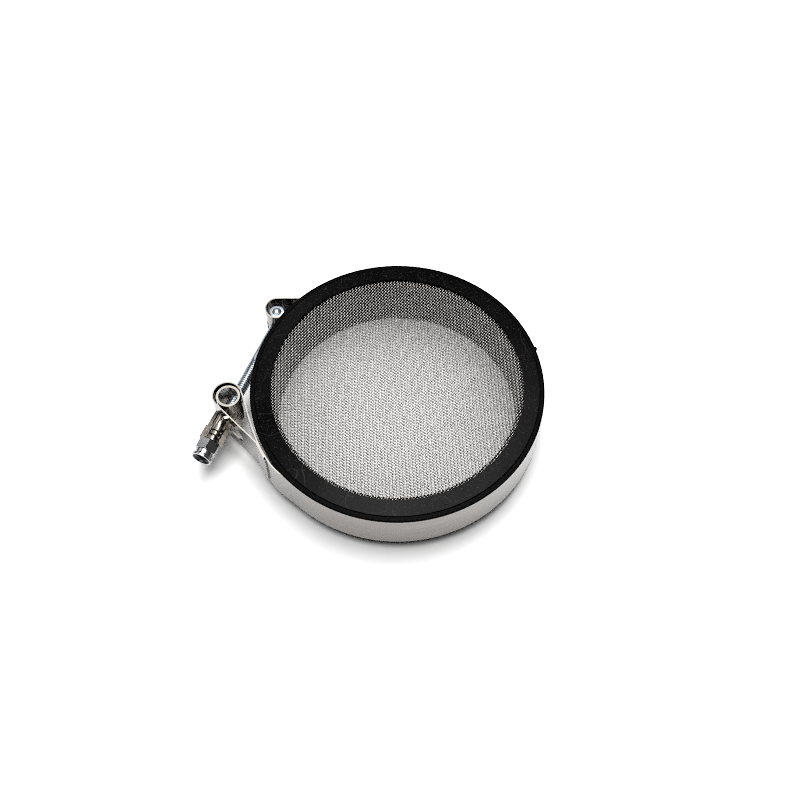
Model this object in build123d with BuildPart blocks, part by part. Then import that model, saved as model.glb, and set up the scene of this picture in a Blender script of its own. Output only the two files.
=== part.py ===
from build123d import *
from itertools import product
from math import acos, ceil, cos, degrees, radians, sin, tan
import os

os.makedirs("parts", exist_ok=True)

# Turbo intake screen: a rubber ring with woven wire cloth moulded across its mouth,
# held on a 5 inch inlet by a T-bolt clamp. Millimetres, +Z up.
# The origin is on the ring's axis at its bottom rim, and the clamp bolt runs along Y at -X.

# Bore and wall of the ring, which most other radii follow
bore_r = 63.5
wall = 10.8
seat_r = bore_r + wall

# Strap and its seat in the ring
strap_w = 24.0
strap_t = 0.7
strap_clear = 0.1
seat_ease = 1.0
skirt_h = 4.2
skirt_rise = 4.3
skirt_inset = 4.3
skirt_r = seat_r - skirt_inset

# Rubber ring
bore_lead = 1.0
stop_step = 0.9
stop_clear = 0.45
lip_t = 1.4
lip_step = 1.1
lip_r = seat_r + lip_step
lip_round = 0.5
crown_rise = 2.0
window_step = 1.3
window_r = bore_r + window_step
window_round = 1.2
vent_inset = 2.4
vent_r = lip_r - vent_inset
vent_w = 0.6
vent_d = 0.5

# Heights that follow from the seat
strap_z = skirt_h + skirt_rise + seat_ease
lip_z = strap_z + strap_w + strap_clear
ring_h = lip_z + lip_t
crown_z = ring_h + crown_rise
strap_top = strap_z + strap_w

# Marks left by the mould
gate_inset = 0.3
gate_r = lip_r - gate_inset
gate_angle = 40.8
gate_size = 1.2
gate_h = 0.9
pin_inset = 3.6
pin_r = lip_r - pin_inset
pin_angle = -47.1
pin_size = 1.25
pin_line = 0.3
pin_d = 0.15

# Wire cloth, drawn at ten times its pitch and wire width, one dished sheet
cloth_t = 0.7
cloth_cover = 1.7
cloth_grip = 3.2
cloth_edge_r = window_r + cloth_grip
cloth_sag = 6.15
warp_pitch = 11.42
weft_pitch = 13.14
warp_turn = 75.2
weft_turn = -15.2
wire_w = 4.7
knuckle_w = 1.4
knuckle_h = 0.25
knuckle_margin = 0.8
mesh_margin = 1.6
least_gap = 9.0

# Bridge strip under the gap in the strap
bridge_t = 0.7
bridge_start = 148.0
bridge_end = 243.0
bridge_round = 5.0

# Strap end round the bolt's head, a loop that touches the strap at head_touch
head_loop_inner = 5.8
head_loop_r = head_loop_inner + strap_t / 2
head_leave = 113.9
head_touch = 166.0
head_foot_r = 4.0
head_tail_turn = 3.5121
head_slot_h = 8.4
head_slot_out = 6.3
head_slot_in = 4.1
strap_r = seat_r + strap_t / 2
head_loop_x = (strap_r + head_loop_r) * cos(radians(head_touch))
head_loop_y = (strap_r + head_loop_r) * sin(radians(head_touch))

# Strap end round the trunnion, which the bolt passes through
bolt_shift = 0.7
bolt_x = head_loop_x + bolt_shift
trunnion_angle = 26.42
tube_y = bolt_x * tan(radians(trunnion_angle))
tube_r = 6.2
tube_wall = 1.2
loop_room = 0.9
loop_out = 0.7
loop_back = 0.2
tube_drop = 0.4
tube_bolt_clear = 0.3
nut_leave = 248.0
nut_arrive = 42.7
nut_touch = 252.0
nut_foot_r = 5.0
nut_tail_turn = 7.3116
tail_round = 2.5
slot_round = 1.5
bolt_slot_h = 7.2
bolt_slot_w = 8.4
saddle_slot_h = 9.6
saddle_slot_end = 15.0
strap_lift = 2.0
lift_end = 237.5
lift_start = 226.0
first_lift = 2.35
first_turn = 218.0
second_lift = 3.5
second_turn = 210.3

# Pressed saddle between trunnion and nut
neck_reach = 14.4
sleeve_l = 8.2
sleeve_start = tube_y - neck_reach
saddle_end = sleeve_start - sleeve_l
saddle_seat_clear = 0.05
sleeve_r = 4.1
sleeve_clear = 0.2
bead_w = 1.1
bead_d = 0.4
bead_step = 2.6
bead_first = sleeve_start - bead_step
bead_second = bead_first - bead_step
collar_r = 5.0
collar_t = 0.5
wing_t = 1.2
wing_w = 13.0
neck_wing_w = 11.4
cheek_x = 3.7
cheek_t = 0.6
cheek_h = 2.6
rim_h = 1.5
rim_t = 0.5

# Clamp bolt
bolt_r = 3.17
thread_r = 3.12
shank_l = 28.55
bolt_past = 7.6
thread_start = head_loop_y - shank_l
bolt_end = saddle_end - bolt_past
bolt_tip = 0.7
head_shift = 1.6
head_y = head_loop_y - head_shift
head_r = 4.0
head_gap = 1.0
head_edge = 0.5
dimple_r = 1.9
dimple_d = 1.0
dimple_floor = 0.3

# Lock nut and its nylon ring
nut_gap = 0.3
nut_af = 10.3
hex_l = 6.0
nut_turn = 19.7
nut_clear = 0.06
nut_neck_r = 4.9
nut_neck_l = 2.2
nut_rim_r = 5.5
nut_rim_in = 4.5
nut_flare_l = 0.7
nut_rim_l = 1.1
nut_chamfer = 0.7
nylon_gap = 0.3
nylon_l = 1.6
nylon_hole = 2.95
nylon_bevel = 0.4

# Values shared by mating pieces
lap_r = seat_r + strap_t * 1.5
bridge_r = seat_r - bridge_t / 2
bridge_span = bridge_end - bridge_start
bolt_z = strap_z + strap_w / 2
cloth_top = crown_z - cloth_cover
cloth_low = cloth_top - cloth_t
cloth_reach = cloth_sag + cloth_t + knuckle_h
stop_r = bore_r - stop_step
stop_z = cloth_low - cloth_sag - stop_clear
raised_r = strap_r + strap_lift
nut_lap_r = raised_r + strap_t
nut_loop_r = tube_r + loop_room + strap_t / 2
nut_face = saddle_end - nut_gap

bolt_axis = Axis((bolt_x, 0, bolt_z), (0, 1, 0))
bolt_side = Plane(origin=(bolt_x, 0, bolt_z), x_dir=(0, 1, 0), z_dir=(1, 0, 0))
ring_half = Plane.XZ
strap_plane = Plane.XY.offset(strap_z)
cloth_floor = Plane.XY.offset(cloth_low - cloth_sag)


def polar(radius, angle):
    """A point in plan at a radius and an angle in degrees."""
    return (radius * cos(radians(angle)), radius * sin(radians(angle)))


def across_bolt(y):
    """A plane across the bolt at y, facing the nut, with X along +X and Y up."""
    return Plane(origin=(bolt_x, y, bolt_z), x_dir=(1, 0, 0), z_dir=(0, -1, 0))


def foot_turn(centre, radius, leave, foot_r, rest_r):
    """The turn of the bend that lays a returning strand at its resting radius."""
    reach = centre[0] * cos(radians(leave)) + centre[1] * sin(radians(leave)) + radius
    return degrees(acos((reach + foot_r) / (rest_r + foot_r)))


def dish_section(low, high):
    """Half the section of the dished sheet between two heights at its edge."""
    with BuildLine() as outline:
        TangentArc((0, low - cloth_sag), (stop_r, low), tangent=(1, 0))
        Line((stop_r, low), (stop_r, high))
        TangentArc((0, high - cloth_sag), (stop_r, high), tangent=(1, 0))
        Line((0, low - cloth_sag), (0, high - cloth_sag))
    make_face(outline.edges())


# Rubber ring
with BuildPart() as rubber_ring:
    with BuildSketch(ring_half):
        with BuildLine():
            slope = crown_rise / (lip_r - window_r)
            vent_out = vent_r + vent_w / 2
            vent_in = vent_r - vent_w / 2
            Polyline(
                (bore_r, bore_lead),
                (bore_r + bore_lead, 0),
                (skirt_r, 0),
                (skirt_r, skirt_h),
                (seat_r, skirt_h + skirt_rise),
                (seat_r, lip_z),
                (lip_r, lip_z),
                (lip_r, ring_h),
                (vent_out, ring_h + slope * (lip_r - vent_out)),
                (vent_r, ring_h + slope * (lip_r - vent_r) - vent_d),
                (vent_in, ring_h + slope * (lip_r - vent_in)),
                (window_r, crown_z),
                (window_r, cloth_top),
                (cloth_edge_r, cloth_top),
                (cloth_edge_r, cloth_low),
                (stop_r, cloth_low),
                (stop_r, stop_z),
                (bore_r, stop_z),
                close=True,
            )
        profile = make_face()
        lip_corner = profile.vertices().group_by(Axis.X)[-1].sort_by(Axis.Y)[-1]
        fillet(lip_corner, lip_round)
        window_corner = profile.vertices().sort_by(Axis.Y)[-1]
        fillet(window_corner, window_round)
    revolve(axis=Axis.Z)
    with BuildSketch(strap_plane):
        with BuildLine():
            CenterArc((0, 0), bridge_r, bridge_start, bridge_span)
        trace(line_width=bridge_t)
    extrude(amount=strap_w, mode=Mode.SUBTRACT)
    with BuildSketch(Plane.XY.offset(lip_z + lip_round / 2)):
        with Locations(polar(gate_r, gate_angle)):
            Circle(gate_size)
    extrude(amount=gate_h)
    with BuildSketch(Plane.XY.offset(ring_h + slope * (lip_r - pin_r) - pin_d)):
        with Locations(polar(pin_r, pin_angle)):
            Circle(pin_size)
            Circle(pin_size - pin_line, mode=Mode.SUBTRACT)
    extrude(amount=1, mode=Mode.SUBTRACT)

rubber_ring.part.label = "rubber_ring"
export_step(rubber_ring.part, "parts/rubber_ring.step")

# Wire cloth: the knuckle lines of its warp, then the sheet that carries them
with BuildPart() as warp_lines:
    with BuildSketch(ring_half):
        dish_section(cloth_low, cloth_top + knuckle_h)
    revolve(axis=Axis.Z)
    with BuildSketch(cloth_floor):
        for step in range(-int(stop_r / warp_pitch), int(stop_r / warp_pitch) + 1):
            with Locations(polar(step * warp_pitch, warp_turn + 90)):
                Rectangle(2 * stop_r, knuckle_w, rotation=warp_turn)
        Circle(stop_r - knuckle_margin, mode=Mode.INTERSECT)
    extrude(amount=cloth_reach, mode=Mode.INTERSECT)

with BuildPart() as gaps:
    with BuildSketch(cloth_floor):
        steps = range(-ceil(stop_r / warp_pitch), ceil(stop_r / warp_pitch))
        for across, along in product(steps, steps):
            warp_step = Vector(polar((across + 0.5) * warp_pitch, warp_turn + 90))
            weft_step = Vector(polar((along + 0.5) * weft_pitch, weft_turn + 90))
            cell = warp_step + weft_step
            if cell.length < stop_r:
                with Locations(cell):
                    Rectangle(weft_pitch - wire_w, warp_pitch - wire_w, rotation=warp_turn)
    extrude(amount=cloth_reach)
    with BuildSketch(cloth_floor):
        Circle(stop_r - mesh_margin)
    extrude(amount=cloth_reach, mode=Mode.INTERSECT)

with BuildPart() as wire_screen:
    with BuildSketch(ring_half):
        dish_section(cloth_low, cloth_top)
        with Locations(((stop_r + cloth_edge_r) / 2, (cloth_low + cloth_top) / 2)):
            Rectangle(cloth_edge_r - stop_r, cloth_t)
    revolve(axis=Axis.Z)
    add(warp_lines.part)
    open_gaps = gaps.solids().filter_by(lambda gap: gap.volume > least_gap * cloth_reach)
    add(open_gaps, mode=Mode.SUBTRACT)

wire_screen.part.label = "wire_screen"
export_step(wire_screen.part, "parts/wire_screen.step")

# Bridge strip
with BuildPart() as bridge_strip:
    with BuildSketch(strap_plane):
        with BuildLine():
            CenterArc((0, 0), bridge_r, bridge_start, bridge_span)
        trace(line_width=bridge_t)
    extrude(amount=strap_w)
    corners = bridge_strip.edges().filter_by(lambda e: abs(e.length - bridge_t) < 0.01)
    fillet(corners, bridge_round)

bridge_strip.part.label = "bridge_strip"
export_step(bridge_strip.part, "parts/bridge_strip.step")

# Strap: the two formed ends first, then the run round the ring
head_loop = (head_loop_x, head_loop_y)
nut_loop = (bolt_x - loop_out, tube_y + loop_back)
head_bend = foot_turn(head_loop, head_loop_r, head_leave, head_foot_r, lap_r)
nut_bend = foot_turn(nut_loop, nut_loop_r, nut_leave, nut_foot_r, nut_lap_r)
head_foot = head_leave + head_bend
nut_foot = nut_leave - nut_bend
arrival = Vector(nut_loop) + Vector(polar(nut_loop_r, nut_arrive))
arrival_way = polar(1, nut_arrive + 90)

with BuildPart() as clamp_band:
    with BuildSketch(strap_plane):
        with BuildLine():
            turn = 180 + head_touch - head_leave
            curl = CenterArc(head_loop, head_loop_r, head_touch + 180, -turn)
            bend = CenterArc(polar(lap_r + head_foot_r, head_foot), head_foot_r, head_leave + 180, head_bend)
            Line(curl @ 1, bend @ 0)
            CenterArc((0, 0), lap_r, head_foot, -head_tail_turn)
        trace(line_width=strap_t)
    extrude(amount=strap_w)
    with BuildSketch(strap_plane):
        with BuildLine():
            curl = CenterArc(nut_loop, nut_loop_r, nut_arrive, nut_leave - nut_arrive)
            bend = CenterArc(polar(nut_lap_r + nut_foot_r, nut_foot), nut_foot_r, nut_leave + 180, -nut_bend)
            Line(curl @ 1, bend @ 0)
            CenterArc((0, 0), nut_lap_r, nut_foot, nut_tail_turn)
        trace(line_width=strap_t)
    extrude(amount=strap_w)
    ends = clamp_band.edges().filter_by(lambda e: abs(e.length - strap_t) < 0.01)
    reach = [Vector(end.center().X, end.center().Y).length for end in ends]
    tails = [end for end, r in zip(ends, reach) if lap_r - strap_t / 4 < r < nut_lap_r + strap_t / 4]
    fillet(tails, tail_round)
    with BuildSketch(strap_plane):
        with BuildLine():
            Spline(
                polar(strap_r, nut_touch),
                polar(raised_r, lift_end),
                tangents=[polar(1, nut_touch - 90), polar(1, lift_end - 90)],
            )
            CenterArc((0, 0), raised_r, lift_end, lift_start - lift_end)
            Spline(
                polar(raised_r, lift_start),
                polar(strap_r + first_lift, first_turn),
                polar(strap_r + second_lift, second_turn),
                arrival,
                tangents=[polar(1, lift_start - 90), arrival_way],
            )
        trace(line_width=strap_t)
    extrude(amount=strap_w)

    # Slots for the bolt and for the saddle
    with BuildSketch(across_bolt(head_loop_y - head_r)):
        with Locations(((head_slot_in - head_slot_out) / 2, 0)):
            RectangleRounded(head_slot_in + head_slot_out, head_slot_h, slot_round)
    extrude(amount=head_loop_inner, mode=Mode.SUBTRACT)
    with BuildSketch(across_bolt(tube_y + nut_loop_r + strap_t)):
        RectangleRounded(bolt_slot_w, bolt_slot_h, slot_round)
    extrude(amount=nut_loop_r, mode=Mode.SUBTRACT)
    with BuildSketch(across_bolt(tube_y)):
        with Locations((-bolt_slot_w / 4, 0)):
            Rectangle(bolt_slot_w * 1.5, saddle_slot_h)
    extrude(amount=nut_loop_r + strap_t, mode=Mode.SUBTRACT)
    leave_point = Vector(nut_loop) + Vector(polar(nut_loop_r, nut_leave))
    strand = Plane(
        origin=(leave_point.X, leave_point.Y, bolt_z),
        x_dir=(-sin(radians(nut_leave)), cos(radians(nut_leave)), 0),
        z_dir=(cos(radians(nut_leave)), sin(radians(nut_leave)), 0),
    )
    with BuildSketch(strand):
        with Locations((saddle_slot_end / 2, 0)):
            SlotOverall(saddle_slot_end + saddle_slot_h, saddle_slot_h)
    extrude(amount=strap_t, both=True, mode=Mode.SUBTRACT)

    with BuildSketch(strap_plane):
        with BuildLine():
            CenterArc((0, 0), strap_r, nut_touch - 360, 360 - nut_touch + head_touch)
        trace(line_width=strap_t)
    extrude(amount=strap_w)

clamp_band.part.label = "clamp_band"
export_step(clamp_band.part, "parts/clamp_band.step")

# Clamp bolt: turned shank, and a cross head that bears on the loop
with BuildPart() as t_bolt:
    with BuildSketch(bolt_side):
        with BuildLine():
            Polyline(
                (head_y, 0),
                (head_y, bolt_r),
                (thread_start, bolt_r),
                (thread_start - (bolt_r - thread_r), thread_r),
                (bolt_end + bolt_tip, thread_r),
                (bolt_end, thread_r - bolt_tip),
                (bolt_end, 0),
                close=True,
            )
        make_face()
    revolve(axis=bolt_axis)
    with BuildSketch(Plane.XY.offset(strap_z + head_gap)):
        with Locations((bolt_x, head_y)):
            Circle(head_r)
    extrude(amount=strap_w - 2 * head_gap)
    ends = t_bolt.edges().filter_by(GeomType.CIRCLE)
    ends = ends.group_by(Axis.Z)
    chamfer(ends[0] + ends[-1], head_edge)
    with Locations((bolt_x, head_y, strap_top - head_gap - dimple_d / 2)):
        Cone(dimple_floor, dimple_r, dimple_d, mode=Mode.SUBTRACT)
    with Locations((bolt_x, head_y, strap_z + head_gap + dimple_d / 2)):
        Cone(dimple_r, dimple_floor, dimple_d, mode=Mode.SUBTRACT)

t_bolt.part.label = "t_bolt"
export_step(t_bolt.part, "parts/t_bolt.step")

# Trunnion tube in the other loop
with BuildPart() as trunnion_tube:
    with BuildSketch(Plane.XY.offset(strap_z + tube_drop)):
        with Locations((bolt_x, tube_y)):
            Circle(tube_r)
            Circle(tube_r - tube_wall, mode=Mode.SUBTRACT)
    extrude(amount=strap_w - 2 * tube_drop)
    with BuildSketch(across_bolt(tube_y + tube_r)):
        Circle(bolt_r + tube_bolt_clear)
    extrude(amount=2 * tube_r, mode=Mode.SUBTRACT)

trunnion_tube.part.label = "trunnion_tube"
export_step(trunnion_tube.part, "parts/trunnion_tube.step")

# Saddle: a beaded sleeve with wings, and a cheeked neck that seats on the trunnion
with BuildPart() as nut_saddle:
    neck_l = tube_y - sleeve_start
    with BuildSketch(across_bolt(tube_y)):
        Rectangle(neck_wing_w, wing_t)
        for side in (-1, 1):
            with Locations((side * cheek_x, 0)):
                Rectangle(cheek_t, 2 * cheek_h)
            with Locations((side * (neck_wing_w - rim_t) / 2, (rim_h - wing_t) / 2)):
                Rectangle(rim_t, rim_h)
    extrude(amount=neck_l)
    with BuildSketch(across_bolt(sleeve_start)):
        Rectangle(wing_w, wing_t)
    extrude(amount=sleeve_start - saddle_end)
    fillet(nut_saddle.edges().filter_by(Axis.Z).group_by(Axis.Y)[0], wing_t)
    with BuildSketch(bolt_side):
        with BuildLine():
            Polyline((sleeve_start + 1, 0), (sleeve_start + 1, sleeve_r), (bead_first + bead_w / 2, sleeve_r))
            Polyline(
                (bead_first + bead_w / 2, sleeve_r),
                (bead_first, sleeve_r - bead_d),
                (bead_first - bead_w / 2, sleeve_r),
                (bead_second + bead_w / 2, sleeve_r),
                (bead_second, sleeve_r - bead_d),
                (bead_second - bead_w / 2, sleeve_r),
                (saddle_end + 2 * collar_t, sleeve_r),
                (saddle_end + collar_t, collar_r),
                (saddle_end, collar_r),
                (saddle_end, 0),
                (sleeve_start + 1, 0),
            )
        make_face()
    revolve(axis=bolt_axis)
    with BuildSketch(across_bolt(tube_y)):
        Circle(bolt_r + sleeve_clear)
    extrude(amount=tube_y - saddle_end, mode=Mode.SUBTRACT)
    with BuildSketch(strap_plane):
        with Locations((bolt_x, tube_y)):
            Circle(tube_r + saddle_seat_clear)
    extrude(amount=strap_w, mode=Mode.SUBTRACT)

nut_saddle.part.label = "nut_saddle"
export_step(nut_saddle.part, "parts/nut_saddle.step")

# Lock nut: hexagon, waisted collar and flared rim
rim_start = nut_face - hex_l - nut_neck_l - nut_flare_l
nut_end = rim_start - nut_rim_l
nylon_start = bolt_end - nylon_gap
with BuildPart() as lock_nut:
    with BuildSketch(across_bolt(nut_face)):
        RegularPolygon(nut_af / 2, 6, major_radius=False, rotation=nut_turn)
    extrude(amount=hex_l)
    with BuildSketch(bolt_side):
        with BuildLine():
            Polyline(
                (nut_face, 0),
                (nut_face, nut_af / 2),
                (nut_face - nut_chamfer, nut_af / 2 + 2 * nut_chamfer),
                (nut_face - hex_l + nut_chamfer, nut_af / 2 + 2 * nut_chamfer),
                (nut_face - hex_l, nut_af / 2),
                (nut_face - hex_l, 0),
                close=True,
            )
        make_face()
    revolve(axis=bolt_axis, mode=Mode.INTERSECT)
    with BuildSketch(bolt_side):
        with BuildLine():
            Polyline(
                (nut_face - hex_l + 1, 0),
                (nut_face - hex_l + 1, nut_neck_r),
                (nut_face - hex_l - nut_neck_l, nut_neck_r),
                (rim_start, nut_rim_r),
                (nut_end, nut_rim_r),
                (nut_end, 0),
                close=True,
            )
        make_face()
    revolve(axis=bolt_axis)
    with BuildSketch(across_bolt(nut_face)):
        Circle(bolt_r + nut_clear)
    extrude(amount=nut_face - nut_end, mode=Mode.SUBTRACT)
    with BuildSketch(across_bolt(nylon_start)):
        Circle(nut_rim_in)
    extrude(amount=nylon_start - nut_end, mode=Mode.SUBTRACT)

lock_nut.part.label = "lock_nut"
export_step(lock_nut.part, "parts/lock_nut.step")

# Nylon ring that grips the thread
with BuildPart() as nylon_ring:
    with BuildSketch(across_bolt(nylon_start)):
        Circle(nut_rim_in)
        Circle(nylon_hole, mode=Mode.SUBTRACT)
    extrude(amount=nylon_l)
    mouth = nylon_ring.edges().group_by(Axis.Y)[0].sort_by(SortBy.LENGTH)[0]
    chamfer(mouth, nylon_bevel)

nylon_ring.part.label = "nylon_ring"
export_step(nylon_ring.part, "parts/nylon_ring.step")
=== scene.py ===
# %% [markdown]
# # A turbo intake screen
#
# A disc of woven steel wire is moulded into a black rubber collar. A steel strap with a
# T-bolt squeezes the collar onto an inlet pipe. The solid model already gives every piece
# its place and its size, so this file adds only what a solid model leaves out: the real
# weave of the wires, the thread of the bolt, and how each surface takes the light.
#
# The first step loads that solid model. Nothing in it is moved or reshaped here. Each of
# its pieces is a node with a name, and each new piece rides on one of its two bodies:
# the screen itself, or the nut that turns on the bolt.

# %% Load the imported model
import random
from math import cos, pi, radians, sin, sqrt

import bmesh
import bpy
from mathutils import Matrix, Vector


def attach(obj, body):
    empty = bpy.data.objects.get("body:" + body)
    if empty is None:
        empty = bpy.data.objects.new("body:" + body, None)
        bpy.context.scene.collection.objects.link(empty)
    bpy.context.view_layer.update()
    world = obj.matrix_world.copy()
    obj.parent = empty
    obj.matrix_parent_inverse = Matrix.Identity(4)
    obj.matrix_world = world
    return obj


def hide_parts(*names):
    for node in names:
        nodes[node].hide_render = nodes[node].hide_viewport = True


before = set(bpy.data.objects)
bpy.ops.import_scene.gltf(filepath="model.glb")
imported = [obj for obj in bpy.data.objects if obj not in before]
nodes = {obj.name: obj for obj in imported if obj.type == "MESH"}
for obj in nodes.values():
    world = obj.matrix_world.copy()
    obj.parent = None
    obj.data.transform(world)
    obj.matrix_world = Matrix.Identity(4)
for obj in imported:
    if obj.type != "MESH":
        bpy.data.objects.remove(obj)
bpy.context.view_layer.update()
print("nodes:", ", ".join(sorted(nodes)))

# %% [markdown]
# ## The camera
#
# The view looks down at the screen from 60 degrees, a little to the right of its front.
# A lens of 56 mm at about 0.64 m gives the gentle perspective of a product picture. The
# camera could be aimed with a constraint, but writing its axes down as a matrix also lets
# it roll by half a degree, and leaves nothing live behind.

# %% Place the camera
lens_mm = 56.25
camera_distance = 0.640
camera_azimuth = radians(23.87)
camera_elevation = radians(60.16)
camera_roll = radians(0.51)
aim = Vector((0, 0, 0.035))

towards_camera = Vector((
    sin(camera_azimuth) * cos(camera_elevation),
    -cos(camera_azimuth) * cos(camera_elevation),
    sin(camera_elevation),
))
level_right = Vector((cos(camera_azimuth), sin(camera_azimuth), 0))
level_up = towards_camera.cross(level_right)
right = level_right * cos(camera_roll) - level_up * sin(camera_roll)
up = level_up * cos(camera_roll) + level_right * sin(camera_roll)

camera_data = bpy.data.cameras.new("camera")
camera_data.lens = lens_mm
camera_data.sensor_width = 36
camera_data.shift_x = 0.00355
camera_data.shift_y = -0.0174
camera_data.clip_start = 0.01
camera = bpy.data.objects.new("camera", camera_data)
bpy.context.collection.objects.link(camera)
turn = Matrix((right, up, towards_camera)).transposed().to_4x4()
camera.matrix_world = Matrix.Translation(aim + towards_camera * camera_distance) @ turn
bpy.context.scene.camera = camera
print("camera at", [round(value, 3) for value in camera.matrix_world.translation])

# %% [markdown]
# ## Floor and light
#
# The screen stands on a plain pale table. Product pictures of this kind are lit by one
# wide soft box overhead in a dim room. The table then glows white and lights the strap
# from below, the sides of the black rim stay black because they mirror only the room, and
# the shadow is a narrow soft one. Little of that light gets through the cloth, so a soft
# light just below it brightens the table inside the collar. The Standard view keeps the
# table as white as the real one, without the greying that a film curve would add.

# %% Make the floor and the lights
scene = bpy.context.scene
scene.view_settings.view_transform = "Standard"

floor_half = 1.5
floor_mesh = bpy.data.meshes.new("floor")
floor_mesh.from_pydata(
    [(x * floor_half, y * floor_half, 0) for x, y in ((-1, -1), (1, -1), (1, 1), (-1, 1))],
    [],
    [(0, 1, 2, 3)],
)
floor = bpy.data.objects.new("floor", floor_mesh)
bpy.context.collection.objects.link(floor)

world = bpy.data.worlds.new("studio")
world.use_nodes = True
world.node_tree.nodes["Background"].inputs["Color"].default_value = (1, 1, 1, 1)
world.node_tree.nodes["Background"].inputs["Strength"].default_value = 0.06
scene.world = world


def soft_box(name, right, back, up, width, depth, power):
    """A rectangular light that faces the object, placed as the camera sees the room."""
    light = bpy.data.lights.new(name, "AREA")
    light.shape = "RECTANGLE"
    light.size = width
    light.size_y = depth
    light.energy = power
    lamp = bpy.data.objects.new(name, light)
    bpy.context.collection.objects.link(lamp)
    place = Vector((right, back, up))
    turn = Matrix.Rotation(camera_azimuth, 4, "Z")
    facing = (-place).to_track_quat("-Z", "Y").to_matrix().to_4x4()
    lamp.matrix_world = turn @ Matrix.Translation(place) @ facing


soft_box("soft_box_above", 0.05, 0.13, 1.1, 0.72, 1.25, 27)
soft_box("card_left_back", -0.46, 0.7, 0.54, 0.45, 0.45, 1.0)
soft_box("light_below_cloth", 0, 0, 0.024, 0.085, 0.085, 0.015)

# %% [markdown]
# ## Finishes
#
# Every finish is built from nodes that read Object coordinates, so a pattern keeps its
# scale on every piece. A few short helpers keep the trees easy to read: one makes a node,
# one starts a material with its constant values, and one adds fine unevenness as bump.

# %% Helpers for node trees
def add_node(tree, kind, **values):
    """Adds a node and sets its properties."""
    node = tree.nodes.new(kind)
    for name, value in values.items():
        setattr(node, name, value)
    return node


def start_finish(name, colour, metallic, roughness):
    """A material whose constants sit on the shader's own sockets."""
    material = bpy.data.materials.new(name)
    material.use_nodes = True
    shader = material.node_tree.nodes["Principled BSDF"]
    shader.inputs["Base Color"].default_value = (*colour, 1)
    shader.inputs["Metallic"].default_value = metallic
    shader.inputs["Roughness"].default_value = roughness
    return material, material.node_tree, shader


def object_noise(tree, scale, detail=3.0):
    """Noise on Object coordinates, in cycles per metre."""
    place = add_node(tree, "ShaderNodeTexCoord")
    noise = add_node(tree, "ShaderNodeTexNoise")
    noise.inputs["Scale"].default_value = scale
    noise.inputs["Detail"].default_value = detail
    tree.links.new(place.outputs["Object"], noise.inputs["Vector"])
    return noise.outputs["Fac"]


def ramp(tree, value, stops):
    """A colour ramp through (position, grey or colour) stops."""
    node = add_node(tree, "ShaderNodeValToRGB")
    elements = node.color_ramp.elements
    while len(elements) < len(stops):
        elements.new(0.5)
    for element, (position, shade) in zip(elements, stops):
        element.position = position
        element.color = (shade, shade, shade, 1) if isinstance(shade, float) else (*shade, 1)
    tree.links.new(value, node.inputs["Fac"])
    return node.outputs["Color"]


def add_bump(tree, shader, height, distance, strength):
    """Bump from a height in 0 to 1, with its depth in metres."""
    bump = add_node(tree, "ShaderNodeBump")
    bump.inputs["Distance"].default_value = distance
    bump.inputs["Strength"].default_value = strength
    tree.links.new(height, bump.inputs["Height"])
    tree.links.new(bump.outputs["Normal"], shader.inputs["Normal"])


print("helpers ready")

# %% [markdown]
# ### The table
#
# The table is a smooth white board. It carries a very faint unevenness in its shade.

# %% Finish the floor
table_white, tree, shader = start_finish("table_white", (0.88, 0.88, 0.88), 0, 0.6)
shade = ramp(tree, object_noise(tree, 6), [(0.35, 0.87), (0.65, 0.9)])
tree.links.new(shade, shader.inputs["Base Color"])
floor_mesh.materials.append(table_white)
print("finish:", table_white.name)

# %% [markdown]
# ### Moulded rubber
#
# Moulded rubber is nearly black and has a satin skin: it reflects a soft grey rather than
# a sharp image. Handling leaves pale dust and fine scuffs. The tree mixes a broad noise
# for the cloudy sheen and a fine one for the skin's grain. A thin band of values in a
# smooth noise draws long curved lines, which make the scuffs where a second noise is high.

# %% Finish the rubber
rubber, tree, shader = start_finish("black_rubber", (0.004, 0.004, 0.004), 0, 0.45)
shader.inputs["Specular IOR Level"].default_value = 0.045
cloud = object_noise(tree, 70, 4)
grain = object_noise(tree, 1800, 2)
scratch = ramp(tree, object_noise(tree, 60, 0), [
    (0.4975, 0.0),
    (0.499, 1.0),
    (0.501, 1.0),
    (0.5025, 0.0),
])
patches = ramp(tree, object_noise(tree, 40, 1), [(0.44, 0.0), (0.56, 1.0)])
dust = ramp(tree, object_noise(tree, 1300, 1), [(0.6, 0.0), (0.8, 0.8)])
scratches = add_node(tree, "ShaderNodeMath", operation="MULTIPLY")
tree.links.new(scratch, scratches.inputs[0])
tree.links.new(patches, scratches.inputs[1])
marks = add_node(tree, "ShaderNodeMath", operation="MAXIMUM")
tree.links.new(scratches.outputs["Value"], marks.inputs[0])
tree.links.new(dust, marks.inputs[1])
dusty = add_node(tree, "ShaderNodeMix", data_type="RGBA")
dusty.inputs["A"].default_value = (0.0012, 0.0012, 0.0012, 1)
dusty.inputs["B"].default_value = (0.03, 0.029, 0.03, 1)
tree.links.new(marks.outputs["Value"], dusty.inputs["Factor"])
tree.links.new(dusty.outputs["Result"], shader.inputs["Base Color"])
tree.links.new(ramp(tree, cloud, [(0.3, 0.24), (0.7, 0.36)]), shader.inputs["Roughness"])
add_bump(tree, shader, grain, 0.00003, 0.4)
print("finish:", rubber.name)
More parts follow.
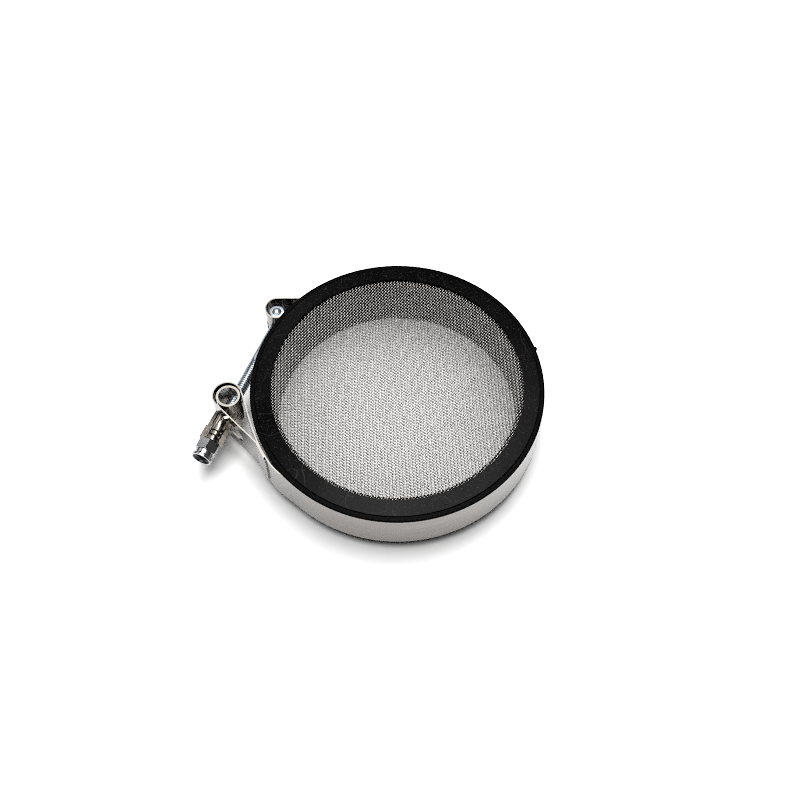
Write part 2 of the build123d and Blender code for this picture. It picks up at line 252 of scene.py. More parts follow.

# %% [markdown]
# Outside the thin groove in its top the collar's lip slopes away from the light, so it
# looks blacker there. That shade is painted: the lip gets a copy of the rubber of its own
# with hardly any gloss.

# %% Finish the outer lip with painted shade
lip_rubber, tree, shader = start_finish("lip_rubber", (0.0015, 0.0015, 0.0015), 0, 0.5)
# Painted shade: this copy reflects far less light than the same rubber beside it.
shader.inputs["Specular IOR Level"].default_value = 0.015
lip_grain = object_noise(tree, 1500, 2)
lip_shade = ramp(tree, lip_grain, [(0.4, 0.001), (0.75, 0.006)])
tree.links.new(lip_shade, shader.inputs["Base Color"])
add_bump(tree, shader, lip_grain, 0.00003, 0.5)
print("finish:", lip_rubber.name)

# %% [markdown]
# ### Rolled strap
#
# The strap is stainless sheet with a bright rolled surface. Rolling leaves very fine
# lines along the strap, so its noise has to follow the curve. The tree turns each point's
# X and Y into an angle round the collar, and noise that is stretched along that angle
# becomes lines that run round the hoop.

# %% Finish the strap
strap_steel, tree, shader = start_finish("strap_steel", (0.29, 0.276, 0.26), 1, 0.15)
place = add_node(tree, "ShaderNodeTexCoord")
axes = add_node(tree, "ShaderNodeSeparateXYZ")
tree.links.new(place.outputs["Object"], axes.inputs["Vector"])
angle = add_node(tree, "ShaderNodeMath", operation="ARCTAN2")
tree.links.new(axes.outputs["Y"], angle.inputs[0])
tree.links.new(axes.outputs["X"], angle.inputs[1])
round_hoop = add_node(tree, "ShaderNodeCombineXYZ")
tree.links.new(angle.outputs["Value"], round_hoop.inputs["X"])
tree.links.new(axes.outputs["Z"], round_hoop.inputs["Z"])
lines = add_node(tree, "ShaderNodeMapping")
lines.inputs["Scale"].default_value = (1.5, 1, 2200)
tree.links.new(round_hoop.outputs["Vector"], lines.inputs["Vector"])
roll_lines = add_node(tree, "ShaderNodeTexNoise")
roll_lines.inputs["Scale"].default_value = 1
roll_lines.inputs["Detail"].default_value = 4
tree.links.new(lines.outputs["Vector"], roll_lines.inputs["Vector"])
dark_line = (0.225, 0.211, 0.199)
bright_line = (0.3, 0.283, 0.268)
strap_shade = ramp(tree, roll_lines.outputs["Fac"], [(0.3, dark_line), (0.7, bright_line)])
strap_gloss = ramp(tree, object_noise(tree, 90, 3), [(0.3, 0.05), (0.7, 0.1)])
tree.links.new(strap_shade, shader.inputs["Base Color"])
tree.links.new(strap_gloss, shader.inputs["Roughness"])
add_bump(tree, shader, roll_lines.outputs["Fac"], 0.000008, 0.5)
print("finish:", strap_steel.name)

# %% [markdown]
# ### Plated pieces and wire
#
# The bolt is plated with zinc, which is bluish and slightly cloudy. The saddle and the
# trunnion are plated with nickel, which is warmer, and the nut's zinc is speckled. Cut
# and turned ends are duller than the skin beside them. The wires are stainless. The
# crossing set is a darker copy of the same steel, painted shade for the light it catches
# less of, so that both ways of the weave can be told apart. All of these metals differ
# only in colour and roughness, so one function makes them.

# %% Finish the plated pieces and the wire
def plated(name, low, high, smooth, rough, cloud_scale):
    """A plated metal whose colour and gloss vary in soft clouds."""
    material, tree, shader = start_finish(name, high, 1, rough)
    cloud = object_noise(tree, cloud_scale, 4)
    tree.links.new(ramp(tree, cloud, [(0.3, low), (0.7, high)]), shader.inputs["Base Color"])
    tree.links.new(ramp(tree, cloud, [(0.3, smooth), (0.7, rough)]), shader.inputs["Roughness"])
    add_bump(tree, shader, object_noise(tree, 2500, 2), 0.00001, 0.4)
    return material


zinc = plated("blue_zinc", (0.34, 0.38, 0.42), (0.5, 0.545, 0.59), 0.28, 0.42, 400)
nickel = plated("bright_nickel", (0.34, 0.31, 0.27), (0.52, 0.485, 0.435), 0.14, 0.26, 300)
stainless = plated("stainless_wire", (0.31, 0.298, 0.284), (0.465, 0.448, 0.427), 0.22, 0.36, 900)
# Painted shade: the crossing wires are the same steel, darkened for the light they catch less of.
darker_stainless = plated(
    "darker_stainless", (0.2, 0.194, 0.187), (0.3, 0.293, 0.283), 0.22, 0.36, 900,
)
dull_nickel = plated("dull_nickel", (0.06, 0.052, 0.044), (0.15, 0.134, 0.116), 0.36, 0.5, 500)
turned_zinc = plated("turned_zinc", (0.2, 0.22, 0.24), (0.36, 0.385, 0.41), 0.4, 0.55, 900)
drawn_nickel = plated("drawn_nickel", (0.2, 0.178, 0.152), (0.36, 0.328, 0.288), 0.16, 0.28, 300)
cut_steel = plated("cut_steel", (0.22, 0.206, 0.186), (0.4, 0.378, 0.345), 0.48, 0.64, 700)
speckled = plated("speckled_zinc", (0.3, 0.302, 0.31), (0.6, 0.605, 0.615), 0.14, 0.26, 1600)
metals = [
    zinc, nickel, stainless, darker_stainless, dull_nickel,
    turned_zinc, drawn_nickel, cut_steel, speckled,
]
print("finishes:", [metal.name for metal in metals])

# %% [markdown]
# ### Nylon
#
# The ring inside the nut is black nylon: matt, with a slight sheen where the bolt has
# squeezed it.

# %% Finish the nylon
nylon, tree, shader = start_finish("black_nylon", (0.02, 0.02, 0.022), 0, 0.45)
dark_nylon = (0.012, 0.012, 0.013)
worn_nylon = (0.03, 0.03, 0.033)
nylon_shade = ramp(tree, object_noise(tree, 900, 2), [(0.3, dark_nylon), (0.7, worn_nylon)])
tree.links.new(nylon_shade, shader.inputs["Base Color"])
print("finish:", nylon.name)

# %% [markdown]
# ## Smooth copies of the solid pieces
#
# The solid model arrives as flat triangles. On bright metal every flat would show as its
# own reflection, and every edge would be razor sharp, which no pressed or turned piece
# is. So each solid is copied, its loose triangles are merged, its shading is smoothed
# except at real corners, and a hairline bevel lets those corners catch the light. The
# copy has the same shape, so it stands in for the solid.

# %% Copy, merge and soften the solids
crease = radians(34)
upright_share = 0.98
lip_bottom = 0.03
groove_radius = 0.0731


def cut_end(face):
    """True for the flat faces that a shear or a saw left, which look up or down."""
    return abs(face.normal.z) > upright_share


def outer_lip(face):
    """True for the collar's lip outside the vent groove."""
    return face.center.z > lip_bottom and face.center.xy.length > groove_radius


def smooth_copy(node_name, finish, body, edge_width, end_finish=None, is_end=cut_end):
    """A merged and smoothly shaded copy of a solid, with softened edges and its own ends."""
    mesh = nodes[node_name].data.copy()
    mesh.name = node_name + "_shown"
    work = bmesh.new()
    work.from_mesh(mesh)
    bmesh.ops.remove_doubles(work, verts=work.verts, dist=1e-6)
    bmesh.ops.dissolve_limit(work, angle_limit=radians(0.5), verts=work.verts, edges=work.edges)
    corners = [e for e in work.edges if e.is_manifold and e.calc_face_angle() > crease]
    if edge_width:
        bmesh.ops.bevel(
            work, geom=corners, offset=edge_width, segments=2,
            affect="EDGES", clamp_overlap=True,
        )
    bmesh.ops.triangulate(work, faces=work.faces)
    work.to_mesh(mesh)
    work.free()
    if "custom_normal" in mesh.attributes:
        mesh.attributes.remove(mesh.attributes["custom_normal"])
    mesh.shade_smooth()
    mesh.set_sharp_from_angle(angle=crease)
    mesh.materials.clear()
    mesh.materials.append(finish)
    if end_finish:
        mesh.materials.append(end_finish)
        for face in mesh.polygons:
            face.material_index = int(is_end(face))
    piece = bpy.data.objects.new(mesh.name, mesh)
    bpy.context.collection.objects.link(piece)
    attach(piece, body)
    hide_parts(node_name)
    print(piece.name, "has", len(mesh.polygons), "triangles")


# The lip outside the groove takes the shaded copy of the rubber, which paints its shade.
smooth_copy("rubber_ring", rubber, "screen", 0, lip_rubber, outer_lip)
smooth_copy("clamp_band", strap_steel, "screen", 0.00012, cut_steel)
smooth_copy("bridge_strip", strap_steel, "screen", 0.00012)
smooth_copy("trunnion_tube", nickel, "screen", 0.0002, cut_steel)
smooth_copy("nut_saddle", drawn_nickel, "screen", 0.00012, dull_nickel)
smooth_copy("lock_nut", speckled, "nut", 0.00015)
smooth_copy("nylon_ring", nylon, "nut", 0.0001)

# %% [markdown]
# ## The wire cloth
#
# Plain weave passes every wire over one crossing wire and under the next. Thousands of
# wires by hand would be hopeless, but the rule is short, so Geometry Nodes follows it:
#
# 1. A grid is laid out in counts, not in metres: X counts the wires and Y counts the
#    crossings along each of them.
# 2. The edges that join one wire to the next are deleted, which leaves separate lines.
# 3. Each point moves to its real place. Its height is the dish of the cloth plus a wave,
#    a cosine of the two counts, which puts the wire over one crossing and under the next.
# 4. Everything outside the collar's slot is deleted, and a thin circle is swept along
#    what is left.
#
# The second set of wires uses the same tree with its two directions exchanged and its
# wave turned upside down. Each set is made in two halves, to keep every piece light.

# %% Describe the cloth
warp_turn = radians(75.2)
weft_turn = radians(-15.2)
warp_pitch = 0.001142
weft_pitch = 0.001314
wire_diameter = 0.00047
wire_rise = 0.000235
cloth_radius = 0.0675
dish_radius = 0.0626
dish_sag = 0.00615
dish_height = 0.03495
warp_opening = 1000 * (warp_pitch - wire_diameter)
weft_opening = 1000 * (weft_pitch - wire_diameter)
print("openings in mm:", round(warp_opening, 2), "by", round(weft_opening, 2))

# %% [markdown]
# The tree's inputs are named, so the same recipe can be tried with another pitch or
# another wire. Small helper functions add Math nodes, because the rule is mostly sums.

# %% Build the weaving tree
def float_input(tree, name, value):
    """Adds a named number to a tree's interface."""
    socket = tree.interface.new_socket(name, in_out="INPUT", socket_type="NodeSocketFloat")
    socket.default_value = value


def geometry_tree(name, inputs):
    """A Geometry Nodes tree with named number inputs, and its two end nodes."""
    tree = bpy.data.node_groups.new(name, "GeometryNodeTree")
    tree.interface.new_socket("Geometry", in_out="INPUT", socket_type="NodeSocketGeometry")
    for label, value in inputs.items():
        float_input(tree, label, value)
    tree.interface.new_socket("Finish", in_out="INPUT", socket_type="NodeSocketMaterial")
    tree.interface.new_socket("Geometry", in_out="OUTPUT", socket_type="NodeSocketGeometry")
    return tree, add_node(tree, "NodeGroupInput"), add_node(tree, "NodeGroupOutput")


def math(tree, operation, *terms):
    """A Math node whose terms are sockets or plain numbers."""
    node = add_node(tree, "ShaderNodeMath", operation=operation)
    for slot, term in zip(node.inputs, terms):
        if isinstance(term, (int, float)):
            slot.default_value = term
        else:
            tree.links.new(term, slot)
    return node.outputs["Value"]


weave, given, result = geometry_tree("weave_wires", {
    "Wires": 121,
    "Crossings": 107,
    "Wire spacing": warp_pitch,
    "Crossing spacing": weft_pitch,
    "Wire direction": warp_turn,
    "Crossing direction": weft_turn,
    "Wire diameter": wire_diameter,
    "Rise": wire_rise,
    "Cloth radius": cloth_radius,
    "Dish radius": dish_radius,
    "Dish sag": dish_sag,
    "Dish height": dish_height,
    "Side": 1,
})
steps_per_crossing = 3

# %% Lay the grid of counts and cut it into lines
wire_count = given.outputs["Wires"]
crossing_count = given.outputs["Crossings"]
grid = add_node(weave, "GeometryNodeMeshGrid")
weave.links.new(math(weave, "SUBTRACT", wire_count, 1), grid.inputs["Size X"])
weave.links.new(math(weave, "SUBTRACT", crossing_count, 1), grid.inputs["Size Y"])
weave.links.new(wire_count, grid.inputs["Vertices X"])
steps_along = math(weave, "SUBTRACT", crossing_count, 1)
points_along = math(weave, "MULTIPLY_ADD", steps_along, steps_per_crossing, 1)
weave.links.new(points_along, grid.inputs["Vertices Y"])

edge_ends = add_node(weave, "GeometryNodeInputMeshEdgeVertices")
first_end = add_node(weave, "ShaderNodeSeparateXYZ")
second_end = add_node(weave, "ShaderNodeSeparateXYZ")
weave.links.new(edge_ends.outputs["Position 1"], first_end.inputs["Vector"])
weave.links.new(edge_ends.outputs["Position 2"], second_end.inputs["Vector"])
end_gap = math(weave, "SUBTRACT", first_end.outputs["X"], second_end.outputs["X"])
step_across = math(weave, "ABSOLUTE", end_gap)
cut_lines = add_node(weave, "GeometryNodeDeleteGeometry", domain="EDGE", mode="EDGE_FACE")
weave.links.new(grid.outputs["Mesh"], cut_lines.inputs["Geometry"])
weave.links.new(math(weave, "GREATER_THAN", step_across, 0.5), cut_lines.inputs["Selection"])
print("weave so far:", len(weave.nodes), "nodes")

# %% [markdown]
# Two wires that cross at count i, j sit at i steps along one direction plus j steps along
# the other. The steps are a little longer than the spacing, because the two directions
# aren't quite square to each other.

# %% Move each point to its place
counts = add_node(weave, "ShaderNodeSeparateXYZ")
count_place = add_node(weave, "GeometryNodeInputPosition")
weave.links.new(count_place.outputs["Position"], counts.inputs["Vector"])
wire_number = counts.outputs["X"]
crossing_number = counts.outputs["Y"]
wire_way = given.outputs["Wire direction"]
crossing_way = given.outputs["Crossing direction"]
turn_between = math(weave, "SUBTRACT", wire_way, crossing_way)
skew = math(weave, "ABSOLUTE", math(weave, "SINE", turn_between))
square_along = math(weave, "MULTIPLY", crossing_number, given.outputs["Crossing spacing"])
square_across = math(weave, "MULTIPLY", wire_number, given.outputs["Wire spacing"])
along = math(weave, "DIVIDE", square_along, skew)
across = math(weave, "DIVIDE", square_across, skew)
place_x = math(
    weave, "ADD",
    math(weave, "MULTIPLY", along, math(weave, "COSINE", wire_way)),
    math(weave, "MULTIPLY", across, math(weave, "COSINE", crossing_way)),
)
place_y = math(
    weave, "ADD",
    math(weave, "MULTIPLY", along, math(weave, "SINE", wire_way)),
    math(weave, "MULTIPLY", across, math(weave, "SINE", crossing_way)),
)
reach = math(weave, "SQRT", math(
    weave, "ADD",
    math(weave, "MULTIPLY", place_x, place_x),
    math(weave, "MULTIPLY", place_y, place_y),
))
count_sum = math(weave, "ADD", wire_number, crossing_number)
wave = math(weave, "COSINE", math(weave, "MULTIPLY", count_sum, pi))
print("weave so far:", len(weave.nodes), "nodes")

# %% [markdown]
# The dish is a shallow cap of a sphere. Its radius follows from how far the cloth sags
# below its rim, and beyond the rim the cloth lies flat in the collar's slot.

# %% Dish the cloth
rim = given.outputs["Dish radius"]
sag = given.outputs["Dish sag"]
sphere = math(
    weave, "DIVIDE",
    math(weave, "ADD", math(weave, "MULTIPLY", rim, rim), math(weave, "MULTIPLY", sag, sag)),
    math(weave, "MULTIPLY", sag, 2),
)
inside = math(weave, "MINIMUM", reach, rim)
sphere_squared = math(weave, "MULTIPLY", sphere, sphere)
inside_squared = math(weave, "MULTIPLY", inside, inside)
cap_height = math(weave, "SQRT", math(weave, "SUBTRACT", sphere_squared, inside_squared))
drop = math(weave, "SUBTRACT", cap_height, math(weave, "SUBTRACT", sphere, sag))
level = math(weave, "SUBTRACT", given.outputs["Dish height"], drop)
height = math(weave, "MULTIPLY_ADD", wave, given.outputs["Rise"], level)

settle = add_node(weave, "GeometryNodeSetPosition")
real_place = add_node(weave, "ShaderNodeCombineXYZ")
weave.links.new(place_x, real_place.inputs["X"])
weave.links.new(place_y, real_place.inputs["Y"])
weave.links.new(height, real_place.inputs["Z"])
weave.links.new(real_place.outputs["Vector"], settle.inputs["Position"])
print("sphere radius in mm:", round(1000 * (dish_radius**2 + dish_sag**2) / (2 * dish_sag)))

# %% [markdown]
# The wrong half and the corners of the grid have to go. Both tests use the counts and the
# place from before the move, so they are stored on the points first. Then the lines turn
# into curves, and a six-sided circle swept along them is enough for such a thin wire.

# %% Trim the cloth and sweep the wire
store_reach = add_node(weave, "GeometryNodeStoreNamedAttribute", data_type="FLOAT", domain="POINT")
store_reach.inputs["Name"].default_value = "outside"
off_middle = math(weave, "ADD", wire_number, 0.5)
signed_side = math(weave, "MULTIPLY", off_middle, given.outputs["Side"])
wrong_side = math(weave, "LESS_THAN", signed_side, 0)
too_far = math(weave, "GREATER_THAN", reach, given.outputs["Cloth radius"])
weave.links.new(cut_lines.outputs["Geometry"], store_reach.inputs["Geometry"])
weave.links.new(math(weave, "MAXIMUM", wrong_side, too_far), store_reach.inputs["Value"])
weave.links.new(store_reach.outputs["Geometry"], settle.inputs["Geometry"])

read_reach = add_node(weave, "GeometryNodeInputNamedAttribute", data_type="FLOAT")
read_reach.inputs["Name"].default_value = "outside"
trim = add_node(weave, "GeometryNodeDeleteGeometry", domain="POINT", mode="ALL")
weave.links.new(settle.outputs["Geometry"], trim.inputs["Geometry"])
is_outside = math(weave, "GREATER_THAN", read_reach.outputs["Attribute"], 0.5)
weave.links.new(is_outside, trim.inputs["Selection"])

to_curve = add_node(weave, "GeometryNodeMeshToCurve")
wire_circle = add_node(weave, "GeometryNodeCurvePrimitiveCircle")
wire_circle.inputs["Resolution"].default_value = 6
wire_radius = math(weave, "DIVIDE", given.outputs["Wire diameter"], 2)
weave.links.new(wire_radius, wire_circle.inputs["Radius"])
sweep = add_node(weave, "GeometryNodeCurveToMesh")
sweep.inputs["Fill Caps"].default_value = True
weave.links.new(trim.outputs["Geometry"], to_curve.inputs["Mesh"])
weave.links.new(to_curve.outputs["Curve"], sweep.inputs["Curve"])
weave.links.new(wire_circle.outputs["Curve"], sweep.inputs["Profile Curve"])
forget = add_node(weave, "GeometryNodeRemoveAttribute")
forget.inputs["Name"].default_value = "outside"
weave.links.new(sweep.outputs["Mesh"], forget.inputs["Geometry"])
print("weave so far:", len(weave.nodes), "nodes")


# %% Close the tree
def close_tree(tree, geometry, given, result):
    """Ends a tree with real geometry, smoothly shaded, with its finish. Ends a tree as
    the export needs it: real geometry, smooth, with its finish.
    """
    smooth = add_node(tree, "GeometryNodeSetShadeSmooth")
    real = add_node(tree, "GeometryNodeRealizeInstances")
    dress = add_node(tree, "GeometryNodeSetMaterial")
    tree.links.new(geometry, smooth.inputs["Geometry"])
    tree.links.new(smooth.outputs["Geometry"], real.inputs["Geometry"])
    tree.links.new(real.outputs["Geometry"], dress.inputs["Geometry"])
    tree.links.new(given.outputs["Finish"], dress.inputs["Material"])
    tree.links.new(dress.outputs["Geometry"], result.inputs["Geometry"])


close_tree(weave, forget.outputs["Geometry"], given, result)
print("weave:", len(weave.nodes), "nodes")

# %% [markdown]
# A Geometry Nodes modifier is live: it would be worked out again in every program that
# opens the file. Turning its result into a plain mesh once makes the piece independent.

# %% Turn a tree into a plain piece
def make_piece(name, tree, finish, **inputs):
    """Runs a tree on an empty mesh and keeps the result as a plain mesh object."""
    seed = bpy.data.objects.new(name + "_seed", bpy.data.meshes.new(name + "_seed"))
    bpy.context.collection.objects.link(seed)
    modifier = seed.modifiers.new("nodes", "NODES")
    modifier.node_group = tree
    sockets = {s.name: s.identifier for s in tree.interface.items_tree if s.in_out == "INPUT"}
    for label, value in inputs.items():
        modifier[sockets[label.replace("_", " ")]] = value
    modifier[sockets["Finish"]] = finish
    depsgraph = bpy.context.evaluated_depsgraph_get()
    mesh = bpy.data.meshes.new_from_object(seed.evaluated_get(depsgraph), depsgraph=depsgraph)
    mesh.name = name
    piece = bpy.data.objects.new(name, mesh)
    bpy.context.collection.objects.link(piece)
    bpy.data.objects.remove(seed)
    triangles = sum(len(face.vertices) - 2 for face in mesh.polygons)
    print(name, "has", triangles, "triangles")
    return piece


# %% Weave the cloth
weft_inputs = {
    "Wires": 105,
    "Crossings": 121,
    "Wire_spacing": weft_pitch,
    "Crossing_spacing": warp_pitch,
    "Wire_direction": weft_turn,
    "Crossing_direction": warp_turn,
    "Rise": -wire_rise,
}
cloth_pieces = []
# The crossing set takes the darkened copy of the steel, which paints its shade.
wire_sets = (("warp", stainless, {}), ("weft", darker_stainless, weft_inputs))
for set_name, wire_finish, set_inputs in wire_sets:
    for half_name, side in (("near", -1.0), ("far", 1.0)):
        piece_name = f"{set_name}_wires_{half_name}"
        wires = make_piece(piece_name, weave, wire_finish, Side=side, **set_inputs)
        cloth_pieces.append(wires)

for wires in cloth_pieces:
    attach(wires, "screen")
    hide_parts("wire_screen")
print("pieces of cloth:", len(cloth_pieces))

# %% [markdown]
# ## Rubber in the last openings
#
# The collar is moulded round the cloth, so hot rubber runs into the openings next to the
# window before it sets. That leaves a ragged edge one or two openings wide, with bits of
# wire showing in it. Each filled opening is a small pad, laid at the middle of its cell.
# A seeded random number decides how far in the rubber ran, so each run gives the same edge.

# %% Fill the openings at the window's edge
window_radius = 0.0648
run_in = 0.0019
pad_low = -0.0003
pad_high = 0.00016
hidden_depth = 0.0008
half_rows = 62
chance = random.Random(7)
skew_angle = abs(sin(warp_turn - weft_turn))
sphere_radius = (dish_radius**2 + dish_sag**2) / (2 * dish_sag)
pads = bmesh.new()
for wire_row in range(-half_rows, half_rows):
    for crossing_row in range(-half_rows, half_rows):
        along_warp = (crossing_row + 0.5) * weft_pitch / skew_angle
        along_weft = (wire_row + 0.5) * warp_pitch / skew_angle
        x = along_warp * cos(warp_turn) + along_weft * cos(weft_turn)
        y = along_warp * sin(warp_turn) + along_weft * sin(weft_turn)
        out = sqrt(x * x + y * y)
        if not window_radius - run_in * chance.random() < out < window_radius + hidden_depth:
            continue
        inside = min(out, dish_radius)
        level = dish_height - sqrt(sphere_radius**2 - inside**2) + sphere_radius - dish_sag
        middle = Vector((x, y, level + (pad_low + pad_high) / 2))
        size = Matrix.Diagonal((weft_pitch, warp_pitch, pad_high - pad_low, 1))
        turn = Matrix.Rotation(warp_turn, 4, "Z")
        bmesh.ops.create_cube(pads, size=1, matrix=Matrix.Translation(middle) @ turn @ size)
flash_mesh = bpy.data.meshes.new("rubber_flash")
pads.to_mesh(flash_mesh)
pads.free()
flash_mesh.materials.append(rubber)
rubber_flash = bpy.data.objects.new("rubber_flash", flash_mesh)
bpy.context.collection.objects.link(rubber_flash)
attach(rubber_flash, "screen")
print("filled openings:", len(flash_mesh.polygons) // 6)

# %% [markdown]
# ## The clamp bolt
#
# The bolt is turned from bar: a smooth shank, a cross head that the strap pulls on, and
# a rolled thread. Shank and head are outlines spun round an axis, as on a lathe. The ends
# of each outline sit on the axis, so the shape is closed.

# %% Turn the shank and the head
bolt_x = -0.0777
bolt_z = 0.0215
thread_start = -0.009
bolt_tip = -0.0688
shank_radius = 0.00317
crest_radius = 0.00316
root_radius = 0.00262
head_y = 0.01795
head_radius = 0.004
thread_pitch = 0.00127
thread_slope = 0.0006
thread_lead_in = 0.0008
tip_chamfer = 0.0003


def lathe(name, outline, place, steps=40):
    """Spins (radius, height) points round local Z and places the result."""
    work = bmesh.new()
    rings = []
    for radius, height in outline:
        if radius == 0:
            rings.append([work.verts.new((0, 0, height))])
        else:
            ring = []
            for step in range(steps):
                turn = 2 * pi * step / steps
                ring.append(work.verts.new((radius * cos(turn), radius * sin(turn), height)))
            rings.append(ring)
    for lower, upper in zip(rings, rings[1:]):
        for step in range(steps):
            after = (step + 1) % steps
            corners = [lower[step % len(lower)], lower[after % len(lower)]]
            corners += [upper[after % len(upper)], upper[step % len(upper)]]
            work.faces.new(list(dict.fromkeys(corners)))
    bmesh.ops.remove_doubles(work, verts=work.verts, dist=1e-7)
    bmesh.ops.recalc_face_normals(work, faces=work.faces)
    bmesh.ops.transform(work, matrix=place, verts=work.verts)
    mesh = bpy.data.meshes.new(name)
    work.to_mesh(mesh)
    work.free()
    mesh.shade_smooth()
    mesh.set_sharp_from_angle(angle=crease)
    piece = bpy.data.objects.new(name, mesh)
    bpy.context.collection.objects.link(piece)
    print(name, "has", len(mesh.polygons), "faces")
    return piece


along_bolt = Matrix.Translation((bolt_x, 0, bolt_z)) @ Matrix.Rotation(radians(90), 4, "X")
shank_outline = [
    (0, -head_y),
    (shank_radius, -head_y),
    (shank_radius, -thread_start),
    (root_radius, -thread_start + thread_slope),
    (root_radius, -bolt_tip - tip_chamfer),
    (root_radius - tip_chamfer, -bolt_tip),
    (0, -bolt_tip),
]
shank = lathe("bolt_shank", shank_outline, along_bolt)

head_low = 0.0105
head_high = 0.0325
edge = 0.0005
dimple_radius = 0.0024
dimple_depth = 0.0013
edge_middle = edge * 0.3
bowl_radius = dimple_radius * 0.5
bowl_depth = dimple_depth * 0.8
head_outline = [
    (0, head_low + dimple_depth),
    (bowl_radius, head_low + bowl_depth),
    (dimple_radius, head_low),
    (head_radius - edge, head_low),
    (head_radius - edge_middle, head_low + edge_middle),
    (head_radius, head_low + edge),
    (head_radius, head_high - edge),
    (head_radius - edge_middle, head_high - edge_middle),
    (head_radius - edge, head_high),
    (dimple_radius, head_high),
    (bowl_radius, head_high - bowl_depth),
    (0, head_high - dimple_depth),
]
head = lathe("bolt_head", head_outline, Matrix.Translation((bolt_x, head_y, 0)))

# %% [markdown]
# The saddle is pressed from one sheet, and its sleeve runs on towards the trunnion as a
# thinner half tube over the bolt. It is a ring spun like the shank, with its outline
# closed by repeating the first point.

# %% Carry the saddle's sleeve up to the trunnion
sleeve_low = 0.0462
sleeve_high = 0.0528
sleeve_inner = 0.0034
sleeve_outer = 0.00385
sleeve_chamfer = 0.0001
sleeve_outline = [
    (sleeve_inner, sleeve_low),
    (sleeve_outer - sleeve_chamfer, sleeve_low),
    (sleeve_outer, sleeve_low + sleeve_chamfer),
    (sleeve_outer, sleeve_high),
    (sleeve_inner, sleeve_high),
    (sleeve_inner, sleeve_low),
]
sleeve_neck = lathe("sleeve_neck", sleeve_outline, along_bolt)
sleeve_neck.data.materials.append(nickel)
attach(sleeve_neck, "screen")

# %% [markdown]
# A thread is a ridge that climbs one pitch in each turn. As with the cloth, a grid of
# counts is the easiest start: X counts steps round the bolt and Y counts steps across one
# ridge. Each point is then wrapped round the axis, moved along by its share of the pitch,
# and lifted by a cosine, which gives the rounded crest of a rolled thread. The angle
# counts backwards, because a right-hand thread that runs towards -Y turns that way. Each
# turn ends where the next begins, so merging close points closes the seam.

# %% Roll the thread
steps_round = 24
steps_across = 6
thread_turns = 46
roll, given, result = geometry_tree("rolled_thread", {
    "Turns": thread_turns,
    "Pitch": thread_pitch,
    "Crest radius": crest_radius,
    "Root radius": root_radius,
    "Start": thread_start + thread_lead_in,
    "Axis X": bolt_x,
    "Axis Z": bolt_z,
})
strip = add_node(roll, "GeometryNodeMeshGrid")
round_count = math(roll, "MULTIPLY", given.outputs["Turns"], steps_round)
roll.links.new(round_count, strip.inputs["Size X"])
strip.inputs["Size Y"].default_value = steps_across
roll.links.new(math(roll, "ADD", round_count, 1), strip.inputs["Vertices X"])
strip.inputs["Vertices Y"].default_value = steps_across + 1

counts = add_node(roll, "ShaderNodeSeparateXYZ")
count_place = add_node(roll, "GeometryNodeInputPosition")
roll.links.new(count_place.outputs["Position"], counts.inputs["Vector"])
from_start = math(roll, "ADD", counts.outputs["X"], math(roll, "DIVIDE", round_count, 2))
turn_count = math(roll, "DIVIDE", from_start, steps_round)
share = math(roll, "DIVIDE", counts.outputs["Y"], steps_across)
angle = math(roll, "MULTIPLY", turn_count, -2 * pi)
crest = given.outputs["Crest radius"]
half_depth = math(roll, "DIVIDE", math(roll, "SUBTRACT", crest, given.outputs["Root radius"]), 2)
middle = math(roll, "SUBTRACT", crest, half_depth)
ridge = math(roll, "COSINE", math(roll, "MULTIPLY", share, 2 * pi))
radius = math(roll, "MULTIPLY_ADD", ridge, half_depth, middle)
advance = math(roll, "MULTIPLY", math(roll, "ADD", turn_count, share), given.outputs["Pitch"])

wrapped = add_node(roll, "ShaderNodeCombineXYZ")
wrapped_x = math(roll, "MULTIPLY_ADD", math(roll, "SINE", angle), radius, given.outputs["Axis X"])
wrapped_y = math(roll, "SUBTRACT", given.outputs["Start"], advance)
wrapped_z = math(roll, "MULTIPLY_ADD", math(roll, "COSINE", angle), radius, given.outputs["Axis Z"])
roll.links.new(wrapped_x, wrapped.inputs["X"])
roll.links.new(wrapped_y, wrapped.inputs["Y"])
roll.links.new(wrapped_z, wrapped.inputs["Z"])
wrap = add_node(roll, "GeometryNodeSetPosition")
roll.links.new(strip.outputs["Mesh"], wrap.inputs["Geometry"])
roll.links.new(wrapped.outputs["Vector"], wrap.inputs["Position"])
seam = add_node(roll, "GeometryNodeMergeByDistance")
seam.inputs["Distance"].default_value = 1e-6
roll.links.new(wrap.outputs["Geometry"], seam.inputs["Geometry"])
close_tree(roll, seam.outputs["Geometry"], given, result)
thread = make_piece("bolt_thread", roll, zinc)

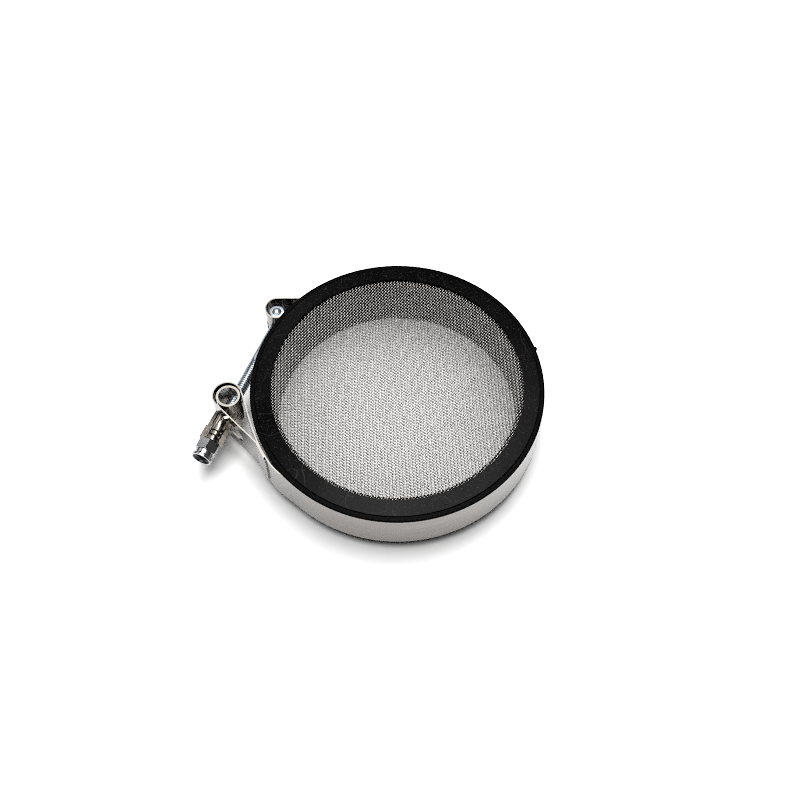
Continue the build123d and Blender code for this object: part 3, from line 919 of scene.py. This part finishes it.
shank.data.materials.append(zinc)
head.data.materials.append(zinc)
head.data.materials.append(turned_zinc)
for face in head.data.polygons:
    face.material_index = int(cut_end(face))
for piece in (shank, head, thread):
    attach(piece, "screen")
    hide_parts("t_bolt")
print("thread turns:", thread_turns, "over", round(1000 * thread_turns * thread_pitch, 1), "mm")

# %% [markdown]
# ## A crisp weave on a clean floor
#
# Cycles can smooth the grain out of a finished picture, but a weave only two or three
# pixels wide looks like grain to it, and would be smoothed away too. Grain shows most on
# the plain floor. So the smoothing is done by nodes that treat the picture: a matte of
# the floor, drawn in by two pixels, takes the floor from a cleaned copy and leaves the
# object as it is.
#
# A pixel filter a little wider than one pixel keeps so fine a weave from beating against
# the pixels in false stripes. It also softens, so the object is then lightly sharpened.

# %% Keep the object crisp and clean the floor
scene.cycles.use_denoising = False
scene.cycles.filter_width = 1.2
bpy.context.view_layer.use_pass_cryptomatte_object = True
scene.use_nodes = True
picture = scene.node_tree
picture.nodes.clear()
passes = add_node(picture, "CompositorNodeRLayers")
cleaned = add_node(picture, "CompositorNodeDenoise")
crisp = add_node(picture, "CompositorNodeFilter", filter_type="SHARPEN_DIAMOND")
crisp.inputs["Fac"].default_value = 0.028
floor_matte = add_node(picture, "CompositorNodeCryptomatteV2", matte_id=floor.name)
drawn_in = add_node(picture, "CompositorNodeDilateErode", mode="DISTANCE", distance=-2)
chosen = add_node(picture, "CompositorNodeMixRGB")
shown = add_node(picture, "CompositorNodeComposite")
picture.links.new(passes.outputs["Image"], cleaned.inputs["Image"])
picture.links.new(passes.outputs["Image"], crisp.inputs["Image"])
picture.links.new(passes.outputs["Image"], floor_matte.inputs["Image"])
picture.links.new(floor_matte.outputs["Matte"], drawn_in.inputs["Mask"])
picture.links.new(drawn_in.outputs["Mask"], chosen.inputs["Fac"])
picture.links.new(crisp.outputs["Image"], chosen.inputs[1])
picture.links.new(cleaned.outputs["Image"], chosen.inputs[2])
picture.links.new(chosen.outputs["Image"], shown.inputs["Image"])
print("picture nodes:", len(picture.nodes))
